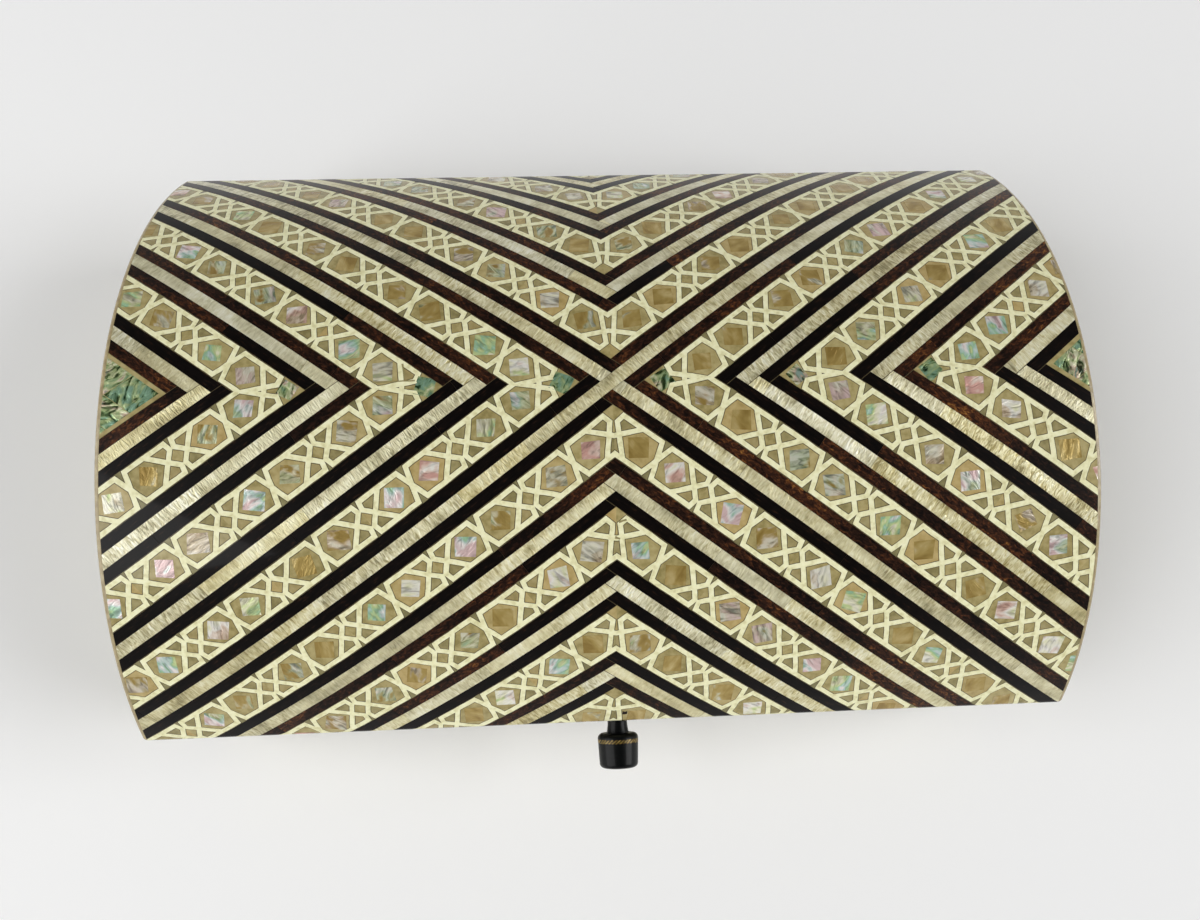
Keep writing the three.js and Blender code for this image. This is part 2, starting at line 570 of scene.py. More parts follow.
# The arms of the chevrons. Each has the measure that is even along it, which counts pitches from the
# crossing, the measure of the arm that it meets at the mitre, whether the tips lie on the upright axis,
# and whether its strips run through at the mitre or butt. Then come its dark strips, far side and near
# side, for the chevrons from the crossing outwards: b brown, k black, n brown by the mitre and then
# black, m black by the mitre and then brown.
RISING = (1 / PITCH_X, -1 / PITCH_Y)
FALLING = (1 / PITCH_X, 1 / PITCH_Y)
ARMS = {
    "front right": (FALLING, negative(RISING), True, True, "nmkb", " bkm"),
    "front left": (negative(RISING), FALLING, True, False, "kmkk", " nmb"),
    "back left": (negative(FALLING), RISING, True, True, "bbbk", " bbk"),
    "back right": (RISING, negative(FALLING), True, False, "bbbk", " mbk"),
    "right back": (RISING, FALLING, False, True, "nmbk", " mkb"),
    "right front": (FALLING, RISING, False, False, "bmbm", " mmk"),
    "left front": (negative(RISING), negative(FALLING), False, True, "kkkb", " knm"),
    "left back": (negative(FALLING), negative(RISING), False, False, "bnmb", " bbk"),
}
DARK_CHANGE = 30
PEARL_HALF = PEARL_WIDTH / 2 / PITCH
DARK_HALF = (PEARL_WIDTH / 2 + DARK_WIDTH) / PITCH
HALF_SEAM = SEAM / 2 / PITCH


class Arm(Way):
    """One arm of the nested chevrons."""

    def __init__(self, name):
        self.own, self.other, self.upright, self.through, *self.darks = ARMS[name]
        across = (self.own[0] * PITCH, self.own[1] * PITCH)
        along = (-across[1], across[0])
        if (dot(along, self.other) > 0) == self.upright:
            along = negative(along)
        super().__init__(along, across, [self.mitre()])

    def start(self, measure):
        """The place on the mitre where both arms have the same measure."""
        (a, b), (c, d) = self.own, self.other
        determinant = a * d - b * c
        return (measure * (d - b) / determinant, measure * (a - c) / determinant)

    def mitre(self):
        difference = (self.other[0] - self.own[0], self.other[1] - self.own[1])
        return (difference, 0) if self.upright else beyond(difference, 0)

    def strip(self, low, high):
        """A strip between two measures, run through or butted at the mitre."""
        butt = MITRE_SEAM / PITCH - HALF_SEAM
        planes = between(self.own, low + HALF_SEAM, high - HALF_SEAM)
        if self.upright:
            planes.append((self.other, high - HALF_SEAM if self.through else low - butt))
        else:
            planes.append(beyond(self.other, low + HALF_SEAM if self.through else high + butt))
        return clip_all(WIDE, planes)


FRAY = 0.11
FRAY_SCALE = 0.45
FRAY_PHASE = 3.7


def frayed(point):
    """A place moved a little, as a hand-sawn edge wanders."""
    shift = noise.noise_vector(Vector((point[0] * FRAY_SCALE, point[1] * FRAY_SCALE, FRAY_PHASE)))
    return (point[0] + FRAY * shift[0], point[1] + FRAY * shift[1])


def seed():
    """A phase for the grain of one tile, so that no two are cut from the same place."""
    return chance.uniform(0, 60)


# Strips, and the lengths that they are pieced together from
PEARL_LENGTHS = (14, 46)
DARK_LENGTHS = (24, 60)


def cut_lengths(low, high):
    """Joints along a strip at uneven distances."""
    place = -REACH - chance.uniform(0, low)
    places = [place]
    while place < REACH:
        place += chance.uniform(low, high)
        places.append(place)
    return list(zip(places, places[1:]))


def lay_strip(inlay, face, polygon, way, lengths):
    for low, high in cut_lengths(*lengths):
        lay_length(inlay, face, polygon, way, low, high)


def lay_length(inlay, face, polygon, way, low, high):
    """One length of a strip, with its own tone and grain."""
    part = clip_all(polygon, between(way.along, low + SEAM / 2, high - SEAM / 2))
    tint = (chance.random(), chance.random(), chance.random())
    grain = way.grain(seed(), face.crossing)
    if part:
        inlay.add(face, face.cut(in_steps(part, way.along) if face.drifts else [part]), grain, tint)


def lay_chevrons(pieces, face):
    """The whole pattern on a face: the crossing, the nested chevrons and the tile bands between them."""
    for name in ARMS:
        arm = Arm(name)
        outward = -1 if arm.upright else 1
        for count in range(CHEVRONS if arm.upright else ABALONE_FROM):
            lay_chevron_arm(pieces, face, arm, outward, count)
            lay_band(pieces, face, arm, outward * (count + 0.5))
        if not arm.upright:
            lay_chevron_arm(pieces, face, arm, outward, ABALONE_FROM)
    lay_crossing(pieces["pearl"], face)


def lay_chevron_arm(pieces, face, arm, outward, count):
    """One arm of a chevron: mother of pearl with a dark strip on its far side and on its near side."""
    at = outward * count
    inner, outer = outward * PEARL_HALF, outward * DARK_HALF
    lay_dark(pieces, face, arm, (at + inner, at + outer), arm.darks[0][count])
    if count:
        lay = arm.strip(at - PEARL_HALF, at + PEARL_HALF)
        lay_strip(pieces["pearl"], face, lay, arm, PEARL_LENGTHS)
        lay_dark(pieces, face, arm, (at - outer, at - inner), arm.darks[1][count])


def lay_dark(pieces, face, arm, edges, letter):
    lay = arm.strip(min(edges), max(edges))
    tip = dot(arm.start(edges[0]), arm.along)
    for low, high in cut_lengths(*DARK_LENGTHS):
        by_mitre = (low + high) / 2 - tip < DARK_CHANGE
        brown = letter == "b" or letter == ("n" if by_mitre else "m")
        lay_length(pieces["tortoise" if brown else "ebony"], face, lay, arm, low, high)


def lay_crossing(inlay, face):
    """The two strips of the crossing: the rising one runs through and the falling one butts on it."""
    rising, falling = (
        between(measure, HALF_SEAM - PEARL_HALF, PEARL_HALF - HALF_SEAM) for measure in (RISING, FALLING)
    )
    lay_strip(inlay, face, clip_all(WIDE, rising), Arm("front left"), PEARL_LENGTHS)
    for side in (beyond(RISING, PEARL_HALF + HALF_SEAM), (RISING, -PEARL_HALF - HALF_SEAM)):
        lay_strip(inlay, face, clip_all(WIDE, falling + [side]), Arm("front right"), PEARL_LENGTHS)


# Tiles of the bands, and their chips
BAND_TILES = 12
SMALL_FIELD_FROM = 1.2
SMALL_FIELD_FADE = 2
CHIP_TURN_SPREAD = 0.09
CHIP_CORNER_SPREAD = 0.12
CHIP_SHARES = (0.9, 1.08)
# Painted shade: how much the chips' shimmer drops per mm towards the back
PAINTED_SHADE_BACK = 0.005


def lay_band(pieces, face, arm, measure):
    start = arm.start(measure)
    for number in range(BAND_TILES):
        centre = arm.spot(start, FIRST_TILE + TILE_LENGTH * number, 0)
        lay_tile(pieces, face, arm, centre, INNER_TILE if number else FIRST_PARTS)


def lay_tile(pieces, face, way, centre, parts):
    """A tile of the band: bone lines, resin fields, and a square of shell in the two large ones."""
    if not face.near(face.at(centre), CORNER_REACH):
        return

    def fitted(triangles):
        spots = [[way.spot(centre, *point) for point in triangle] for triangle in triangles]
        inside = [clip_all(spot, way.ends) for spot in spots]
        return face.fit([[frayed(point) for point in face.drawn(part)] for part in inside if part])

    bones, fields = parts
    grain = ROW.grain(seed())
    pieces["bone"].add(face, fitted(bones), grain, (chance.random(), 0, 0))
    for field in fields:
        tint = (chance.random(), field_tone(middle(field)), 0)
        pieces["resin"].add(face, fitted(field), grain, tint, top=FIELD_DEPTH)
    for side in (-1, 1):
        place = way.spot(centre, side * CHIP_OFFSET, 0)
        turn = way.chip_turn + chance.gauss(0, CHIP_TURN_SPREAD)
        lay_chip(pieces["chips"], face, place, CHIP_SIDE, turn)


def field_tone(spot):
    """How olive a field is: the small outer ones more than the large ones."""
    return min(1, max(0, (abs(spot[1]) - SMALL_FIELD_FROM) / SMALL_FIELD_FADE))


def lay_chip(inlay, face, place, side, angle, planes=()):
    """A square of shell, a little out of true and kept within the planes; duller towards the back, as
    painted shade.
    """
    half = side / 2 * chance.uniform(*CHIP_SHARES)
    way = turned_way(angle)
    square = []
    for x, y in rectangle((-half, -half), (half, half)):
        corner = (x + chance.gauss(0, CHIP_CORNER_SPREAD), y + chance.gauss(0, CHIP_CORNER_SPREAD))
        square.append(way.spot(place, *corner))
    # Painted shade: the chip's shimmer is lowered the further back it lies
    phase, vivid_with_painted_shade = seed(), chance.random() - PAINTED_SHADE_BACK * max(place[1], 0)
    grain = turned_way(chance.uniform(0, math.pi)).grain(phase, face.at(place))
    tint = (chance.random(), vivid_with_painted_shade, chance.random())
    inlay.add(face, face.cut([clip_all(square, planes)]), grain, tint)


# Abalone in the corners of the side chevrons
CORNER_CHIP_TURN = 0.5
CORNER_CHIP_SPREAD = 0.1
MOSAIC_CELLS = 5
MOSAIC_WANDER = 0.15


def lay_shell_corners(pieces, face):
    """Abalone: a chip in each corner of the side chevrons, and a mosaic beyond the last of them."""
    for side in (-1, 1):
        ways = [(side * measure[0], side * measure[1]) for measure in (RISING, FALLING)]
        for count in range(ABALONE_FROM):
            place = (side * (count + CORNER_CHIP_AT) * PITCH_X, 0)
            planes = [beyond(way, count + DARK_HALF + SEAM / PITCH) for way in ways]
            angle = side * CORNER_CHIP_TURN + chance.gauss(0, CORNER_CHIP_SPREAD)
            lay_chip(pieces["abalone"], face, place, CORNER_CHIP_SIDE, angle, planes)
        lay_mosaic(pieces, face, *ways)


def lay_mosaic(pieces, face, first, second):
    """The corner beyond the last side chevron: a resin ground, and pieces of abalone laid over it."""
    gap = SEAM / PITCH
    start = ABALONE_FROM + DARK_HALF + gap
    ends = [(first, start + GROUND_REACH), (second, start + GROUND_REACH)]
    ground = clip_all(WIDE, [beyond(first, start), beyond(second, start)] + ends)
    pieces["resin"].add(face, face.cut([ground]), ROW.grain(seed()), (0.5, 0, 0), top=FIELD_DEPTH)
    cuts = []
    for count in range(MOSAIC_CELLS + 1):
        wander = chance.uniform(-MOSAIC_WANDER, MOSAIC_WANDER) * (count > 0)
        cuts.append(start + MOSAIC_BORDER / PITCH + MOSAIC_CELL / PITCH * (count + wander))
    for low, high in zip(cuts, cuts[1:]):
        for near, far in zip(cuts, cuts[1:]):
            planes = between(first, low + gap, high - gap) + between(second, near + gap, far - gap)
            grain = turned_way(chance.uniform(0, math.pi)).grain(seed())
            tint = (chance.random(), 1, chance.random())
            pieces["abalone"].add(face, face.cut([clip_all(WIDE, planes)]), grain, tint)


# Worn, broken and mended places, measured from the crossing: what fills each, its ends and its width
MENDS = [
    ("resin", (-47.8, 1.2), (-39.4, 1.4), 0.4),
    ("resin", (-41.9, 5.1), (-41.5, 1.7), 0.45),
    ("resin", (0.5, -28.4), (2.0, -27.9), 0.6),
    ("resin", (-0.3, -31.4), (0.7, -31.7), 0.55),
    ("tortoise", (1.9, -73.9), (2.9, -73.9), 1.1),
]
MEND_SKIN = 0.01
MEND_STEP = 1.2
MEND_SHARES = (0.5, 1.1)

# Pale cracks across the mother of pearl of the first front chevron, by their distance from its mitre,
# with the range of each end across the strip and how far they slant
CRACKS = (6.2, 9.5, 14.6, 16.9)
CRACK_WIDTH = 0.16
CRACK_ENDS = ((-1.2, -0.6), (0.3, 1.2))
CRACK_SLANT = 0.3


def lay_mends(pieces, face):
    for kind, first, last, width in MENDS:
        lay_sliver(pieces[kind], face, first, last, width)
    arm = Arm("front left")
    mitre = arm.start(-1)
    for distance in CRACKS:
        first = arm.spot(mitre, distance, chance.uniform(*CRACK_ENDS[0]))
        slant = chance.uniform(-CRACK_SLANT, CRACK_SLANT)
        last = arm.spot(mitre, distance + slant, chance.uniform(*CRACK_ENDS[1]))
        lay_sliver(pieces["bone"], face, first, last, CRACK_WIDTH)


def lay_sliver(inlay, face, first, last, width):
    """A ragged sliver from one place to another, just over what it mends."""
    length = math.dist(first, last)
    along = unit(first, last)
    way = Way(along, (-along[1], along[0]))
    steps = max(2, round(length / MEND_STEP))
    edges = []
    for i in range(steps + 1):
        halves = [side * width / 2 * chance.uniform(*MEND_SHARES) for side in (-1, 1)]
        edges.append([way.spot(first, length * i / steps, half) for half in halves])
    polygons = [[a, b, d, c] for (a, b), (c, d) in zip(edges, edges[1:])]
    inlay.add(face, face.cut(polygons), ROW.grain(seed()), (0.5, 0.6, 0), top=-MEND_SKIN)


# The faces dressed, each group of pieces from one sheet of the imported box
BORDER = [("ebony", DARK_WIDTH), ("pearl", PEARL_WIDTH), ("tortoise", DARK_WIDTH)]
FRIEZE_HEIGHT = 2 * (BAND_HALF + PEARL_WIDTH + 2 * DARK_WIDTH)
FRIEZE_TILES = range(-4, 5)
BASE_RIM = (BASE_TOP - FRIEZE_HEIGHT) / 2
KINDS = ("pearl", "ebony", "tortoise", "bone", "resin", "chips", "abalone", "bed", "edge")


def group():
    return {kind: Inlay() for kind in KINDS}


def lay_bed(pieces, face):
    """The dark glue under the tiles, which shows in the joints."""
    parts = face.fit([face.outline])
    pieces["bed"].add(face, parts, ROW.grain(0), (0, 0, 0), top=BED_DEPTH, bottom=VENEER)


def lay_stripes(pieces, face, low, high, kinds):
    """Straight strips between two heights, each taking its share of the height."""
    total = sum(width for _, width in kinds)
    level = low
    for kind, width in kinds:
        top = level + (high - low) * width / total
        lay = rectangle((-REACH, level + SEAM / 2), (REACH, top - SEAM / 2))
        lay_strip(pieces[kind], face, lay, ROW, PEARL_LENGTHS if kind == "pearl" else DARK_LENGTHS)
        level = top


def lay_frieze(pieces, face, low, high):
    """A row of band tiles with straight strips over and under it."""
    centre = (low + high) / 2
    lay_stripes(pieces, face, low, centre - BAND_HALF, BORDER)
    lay_stripes(pieces, face, centre + BAND_HALF, high, BORDER[::-1])
    for number in FRIEZE_TILES:
        lay_tile(pieces, face, ROW, (number * TILE_LENGTH, centre), INNER_TILE)


def lay_top(pieces):
    for lay in (lay_chevrons, lay_shell_corners, lay_mends, lay_bed):
        lay(pieces, top_face)


def lay_lid_sides(pieces):
    for side in ("front", "back"):
        face = side_face(side, BAND_BOTTOM, SPRING)
        lay_stripes(pieces, face, BAND_BOTTOM, SPRING, BORDER)
        lay_bed(pieces, face)
    for side in ("left", "right"):
        face = end_face(side)
        lay_chevrons(pieces, face)
        lay_bed(pieces, face)
    lay_lid_edges(pieces["edge"])


def lay_base(pieces):
    for side in SIDES:
        face = side_face(side, BASE_RIM, BASE_TOP - BASE_RIM)
        lay_frieze(pieces, face, BASE_RIM, BASE_TOP - BASE_RIM)
        lay_bed(pieces, face)
    lay_base_edges(pieces["edge"])


# Rolled edges
ROUND_STEPS = 6


def edge_section(width, radius):
    """A rolled edge's section: the face's plane, a quarter round to the next plane, and the ground."""
    turns = [math.pi / 2 * i / ROUND_STEPS for i in range(ROUND_STEPS + 1)]
    start = width - radius
    curve = [(start + radius * math.sin(t), radius * (1 - math.cos(t))) for t in turns]
    flat = [(0, 0)] if start else []
    return flat + curve + [(width, VENEER), (0, VENEER)]


END_SECTION = edge_section(END_EDGE, END_EDGE)


def end_frames(side, places, normals):
    outward = np.array([side, 0.0, 0.0])
    origins = [np.array([side * INNER_X, *place[1:]]) for place in places]
    return [(origin, outward, normal) for origin, normal in zip(origins, normals)]


def lay_rim(edge, side, level, turn, section):
    """A rolled rim along the top or the bottom of one side."""
    origin, right, reach = (np.array(value, float) for value in SIDES[side])
    normal = np.cross(right, (0, 0, 1))
    height = np.array([0, 0, level])
    sideways = np.array([0, 0, turn], float)
    edge.sweep([(origin + height + end * reach * right, sideways, normal) for end in (-1, 1)], section)


def lay_lid_edges(edge):
    side_bottom = TOP_REACH + (SPRING - LID_BOTTOM)
    along = [-side_bottom, -TOP_REACH, *arch_levels(), TOP_REACH, side_bottom]
    places, normals = arch_place(np.array([(0, at) for at in along]), 0)
    for side in (-1, 1):
        edge.sweep(end_frames(side, places, normals), END_SECTION)
    for side in SIDES:
        lay_rim(edge, side, BAND_BOTTOM, -1, edge_section(PARTING_RIM, PARTING_RIM))


def lay_base_edges(edge):
    for side in (-1, 1):
        for front in (-1, 1):
            places = [(0, front * HALF_DEPTH, z) for z in (0, BASE_TOP)]
            edge.sweep(end_frames(side, places, [np.array([0, front, 0])] * 2), END_SECTION)
    for side in SIDES:
        lay_rim(edge, side, BASE_RIM, -1, edge_section(BASE_RIM, RIM))
        lay_rim(edge, side, BASE_TOP - BASE_RIM, 1, edge_section(BASE_RIM, PARTING_RIM))


# Knob: turned and black-polished, with a ring of slanting gilt dashes
knob_low, knob_high = node_box("knob")
KNOB_X = (knob_low[0] + knob_high[0]) / 2
KNOB_Z = (knob_low[2] + knob_high[2]) / 2
HEAD_RADIUS = (knob_high[0] - knob_low[0]) / 2
HEAD_END = -HALF_DEPTH - knob_low[1]
PEG_LENGTH = HALF_DEPTH + knob_high[1]
PEG_RADIUS = 1.5
SEAT = 0.3
NECK_RADIUS = 2.15
NECK_FLARE = 0.3
NECK_LENGTH = 2.8
HEAD_TAPER = 0.25
SHOULDER_ROUND = 1.1
END_ROUND = 1.0
KNOB_SEGMENTS = 64
CORNER_STEPS = 8
SHARP = math.cos(math.radians(40))
GILT_RING = (NECK_LENGTH + 1.2, NECK_LENGTH + 2.0)
GILT_DASHES = 34
GILT_WIDTH = 0.24
GILT_SLANT = 0.95
GILT_SKIN = 0.012
GILT_WIDTH_SHARES = (0.7, 1.15)
GILT_SLANT_SHARES = (0.85, 1.15)


def quarter(radius, along, bend, first, last):
    """A quarter round of the knob's profile, as (radius, along) places."""
    turns = [first + (last - first) * i / CORNER_STEPS for i in range(CORNER_STEPS + 1)]
    return [(radius + bend * math.cos(t), along + bend * math.sin(t)) for t in turns]


def knob_profile():
    end_radius = HEAD_RADIUS - HEAD_TAPER
    flare = [i / CORNER_STEPS for i in range(CORNER_STEPS + 1)]
    neck = [(NECK_RADIUS + NECK_FLARE * t * t, SEAT + (NECK_LENGTH - SEAT) * t) for t in flare]
    shoulder = (HEAD_RADIUS - SHOULDER_ROUND, NECK_LENGTH + SHOULDER_ROUND, SHOULDER_ROUND)
    end = (end_radius - END_ROUND, HEAD_END - END_ROUND, END_ROUND)
    peg = [(0, -PEG_LENGTH), (PEG_RADIUS, -PEG_LENGTH), (PEG_RADIUS, SEAT)]
    head = quarter(*shoulder, -math.pi / 2, 0) + quarter(*end, 0, math.pi / 2)
    return peg + neck + head + [(0, HEAD_END)]


def knob_frame(turn):
    """The direction out from the knob's axis at a turn from the top."""
    return np.array([math.sin(turn), 0.0, math.cos(turn)])


def knob_point(turn, radius, along):
    return np.array([KNOB_X, -HALF_DEPTH - along, KNOB_Z]) + radius * knob_frame(turn)


def lathe(inlay, profile):
    """A solid turned round the knob's axis, smooth but at its sharp corners."""
    slopes = []
    for (r0, a0), (r1, a1) in zip(profile, profile[1:]):
        length = math.hypot(r1 - r0, a1 - a0)
        slopes.append(((a1 - a0) / length, (r0 - r1) / length))
    turns = [2 * math.pi * i / KNOB_SEGMENTS for i in range(KNOB_SEGMENTS)]
    for radius, along in profile:
        inlay.points += [knob_point(turn, radius, along) for turn in turns]
        inlay.grain += [(turn * HEAD_RADIUS, along, radius) for turn in turns]
        inlay.tint += [(0, 0, 0)] * KNOB_SEGMENTS
    for k, slope in enumerate(slopes):
        ends = [blended(slope, slopes[n]) if 0 <= n < len(slopes) else slope for n in (k - 1, k + 1)]
        for i in range(KNOB_SEGMENTS):
            j = (i + 1) % KNOB_SEGMENTS
            corners = [(k, i), (k + 1, i), (k + 1, j), (k, j)]
            if profile[k][0] == 0:
                corners.pop(3)
            if profile[k + 1][0] == 0:
                corners.pop(2)
            ring = [row * KNOB_SEGMENTS + place for row, place in corners]
            inlay.face(ring, [knob_normal(turns[place], ends[row - k]) for row, place in corners])


def blended(slope, other):
    """The slope between two stretches of a profile, or the first where they meet at a sharp corner."""
    if dot(slope, other) < SHARP:
        return slope
    both = (slope[0] + other[0], slope[1] + other[1])
    length = math.hypot(*both)
    return (both[0] / length, both[1] / length)


def knob_normal(turn, slope):
    return slope[0] * knob_frame(turn) + np.array([0, -slope[1], 0])


def knob_place(points, depth):
    """Places on the side of the knob's head: round it, and back along it towards the box."""
    side_start = NECK_LENGTH + SHOULDER_ROUND
    side_length = HEAD_END - END_ROUND - side_start
    alongs = -points[:, 1]
    radii = HEAD_RADIUS - HEAD_TAPER * (alongs - side_start) / side_length
    turns = points[:, 0] / HEAD_RADIUS
    normals = np.array([knob_frame(turn) for turn in turns])
    rows = zip(turns, radii - depth, alongs)
    return np.array([knob_point(turn, radius, along) for turn, radius, along in rows]), normals


def lay_gilt(inlay):
    high, low = (-place for place in GILT_RING)
    round_length = 2 * math.pi * HEAD_RADIUS
    levels = [low + (high - low) * i / 3 for i in (1, 2)]
    face = Face(rectangle((0, low), (round_length + 1, high)), knob_place, levels)
    for number in range(GILT_DASHES):
        start = number * round_length / GILT_DASHES
        width = GILT_WIDTH * chance.uniform(*GILT_WIDTH_SHARES)
        end = start + GILT_SLANT * chance.uniform(*GILT_SLANT_SHARES)
        dash = [(start, low), (start + width, low), (end + width, high), (end, high)]
        grain = ROW.grain(seed())
        inlay.add(face, face.fit([dash]), grain, (0, 0, 0), top=-GILT_SKIN, bottom=GILT_SKIN)


lid_top, lid_sides, base_sides = group(), group(), group()
lay_top(lid_top)
lay_lid_sides(lid_sides)
lay_base(base_sides)
knob, gilt = Inlay(), Inlay()
lathe(knob, knob_profile())
lay_gilt(gilt)


# Materials
def colour(code):
    """A colour written as in a paint chart, in linear light."""
    parts = [int(code[i : i + 2], 16) / 255 for i in (0, 2, 4)]
    return [*((p / 12.92 if p <= 0.04045 else ((p + 0.055) / 1.055) ** 2.4) for p in parts), 1]


def node(tree, kind, inputs=(), **settings):
    """A node with its settings, and with its inputs linked to other nodes or set."""
    made = tree.nodes.new(kind)
    for label, value in settings.items():
        setattr(made, label, value)
    for label, value in dict(inputs).items():
        if isinstance(value, bpy.types.NodeSocket):
            tree.links.new(value, made.inputs[label])
        else:
            made.inputs[label].default_value = value
    return made


def smooth_fade(tree, value, start, end, first, last):
    """A level that goes smoothly from the first to the last while a value goes from start to end."""
    inputs = {"Value": value, "From Min": start, "From Max": end, "To Min": first, "To Max": last}
    return node(tree, "ShaderNodeMapRange", inputs, interpolation_type="SMOOTHSTEP").outputs["Result"]


class Look:
    """A material made of nodes."""

    def __init__(self, name, roughness, metallic=0.0, coat=0.55, coat_roughness=0.05, specular=0.15):
        self.material = bpy.data.materials.new(name)
        self.material.use_nodes = True
        self.tree = self.material.node_tree
        self.shader = self.tree.nodes["Principled BSDF"]
        settings = {
            "Roughness": roughness,
            "Metallic": metallic,
            "Coat Weight": coat,
            "Coat Roughness": coat_roughness,
            "Coat IOR": 1.4,
            "Specular IOR Level": specular,
        }
        for label, value in settings.items():
            self.shader.inputs[label].default_value = value

    def node(self, kind, inputs=(), **settings):
        return node(self.tree, kind, inputs, **settings)

    def feed(self, label, socket):
        self.tree.links.new(socket, self.shader.inputs[label])

    def paint(self, socket):
        self.feed("Base Color", socket)

    def attribute(self, name):
        return self.node("ShaderNodeAttribute", attribute_name=name).outputs["Vector"]

    def tints(self):
        """The three random values of a tile."""
        return self.node("ShaderNodeSeparateXYZ", {0: self.attribute("tint")}).outputs

    def space(self):
        return self.node("ShaderNodeTexCoord").outputs["Object"]

    def noise(self, stretch, detail, distortion=0.0, spot=None):
        """Noise over the grain, or over another space, with a frequency along each axis."""
        factors = {0: spot or self.attribute("grain"), 1: stretch}
        place = self.node("ShaderNodeVectorMath", factors, operation="MULTIPLY").outputs[0]
        inputs = {"Vector": place, "Scale": 1.0, "Detail": detail, "Distortion": distortion}
        return self.node("ShaderNodeTexNoise", inputs).outputs["Fac"]

    def maths(self, operation, a, b):
        return self.node("ShaderNodeMath", {0: a, 1: b}, operation=operation).outputs[0]

    def weighed(self, value, weight):
        return self.maths("MULTIPLY", value, weight)

    def swing(self, value, weight):
        """How far a noise is from its middle, times a weight."""
        return self.weighed(self.maths("SUBTRACT", value, 0.5), weight)

    def total(self, values, start=0.0):
        for value in values:
            start = self.maths("ADD", value, start)
        return start

    def mix(self, factor, a, b, blend="MIX"):
        inputs = {0: factor, 6: a, 7: b}
        return self.node("ShaderNodeMix", inputs, data_type="RGBA", blend_type=blend).outputs[2]

    def ramp(self, value, stops):
        made = self.node("ShaderNodeValToRGB", {"Fac": value})
        elements = made.color_ramp.elements
        while len(elements) < len(stops):
            elements.new(0.5)
        for element, (place, code) in zip(elements, stops):
            element.position = place
            element.color = colour(code)
        return made.outputs["Color"]

    def step(self, value, low, high):
        """A share that goes from none to all between two values."""
        return self.ramp(value, [(low, "000000"), (high, "ffffff")])

    def bump(self, height, distance, strength):
        inputs = {"Height": height, "Distance": distance, "Strength": strength}
        self.feed("Normal", self.node("ShaderNodeBump", inputs).outputs["Normal"])


def mottled_look(name, roughness, stretch, detail, stops, relief=None, **finish):
    """A look from one noise over the grain, in its colours and, where there is some, in its relief."""
    look = Look(name, roughness, **finish)
    mottle = look.noise(stretch, detail)
    look.paint(look.ramp(mottle, stops))
    if relief:
        look.bump(mottle, *relief)
    return look.material


def pearl_look():
    """Silver to cream, with fine creases across the strip, stronger in some lengths than in others."""
    look = Look("mother_of_pearl", 0.3, metallic=0.35)
    tone, creased, warm = look.tints()
    ridges = look.noise((1.9, 0.45, 1.0), 5, 1.1)
    clouds = look.noise((0.16, 0.3, 1.0), 2)
    relief = look.swing(ridges, look.total([creased], 0.4))
    shade = look.total([relief, look.swing(clouds, 0.7), look.weighed(tone, 0.12)], 0.46)
    silver = look.ramp(shade, [(0.26, "968f6d"), (0.42, "c4bd98"), (0.58, "dfdab8"), (0.8, "f8f6e4")])
    cream = look.ramp(shade, [(0.26, "a09058"), (0.42, "d0c48f"), (0.58, "ebe4b9"), (0.8, "fcf9df")])
    warmth = look.total([look.weighed(warm, 1.4), look.swing(clouds, 2.0)], -0.15)
    share = look.node("ShaderNodeClamp", {"Value": warmth}).outputs[0]
    look.paint(look.mix(share, silver, cream))
    look.bump(ridges, 0.0005, 0.8)
    return look.material


def tortoise_look():
    """Nearly black brown, with small red and amber mottles that come in drifts."""
    look = Look("tortoise_shell", 0.3, coat=0.15, specular=0.1)
    blots = look.noise((0.9, 1.7, 1.0), 6, 0.9)
    drifts = look.noise((0.06, 0.1, 1.3), 2)
    light = look.ramp(look.tints()[2], [(0.92, "000000"), (0.96, "606060")])
    shade = look.total([blots, look.swing(drifts, 0.8), look.weighed(light, 0.4)])
    stops = [(0.34, "0f0a08"), (0.5, "241610"), (0.62, "3b2317"), (0.73, "58341d"), (0.88, "93642f")]
    look.paint(look.ramp(shade, stops))
    return look.material


def resin_look():
    """Amber to tan in the large fields, and more olive in the small ones."""
    look = Look("resin_field", 0.35)
    tone, olive, _ = look.tints()
    mottle = look.noise((0.7, 0.7, 0.7), 4)
    shade = look.total([look.weighed(mottle, 0.8), look.weighed(tone, 0.2)])
    plain = look.ramp(shade, [(0.3, "8e8150"), (0.5, "a99b69"), (0.75, "bbad7d")])
    amber = look.ramp(shade, [(0.3, "917c4b"), (0.5, "af9861"), (0.75, "c0aa75")])
    dull = look.ramp(shade, [(0.3, "746e4b"), (0.5, "878058"), (0.75, "979069")])
    tan = look.mix(look.step(tone, 0.7, 0.95), plain, amber)
    look.paint(look.mix(olive, tan, dull))
    return look.material


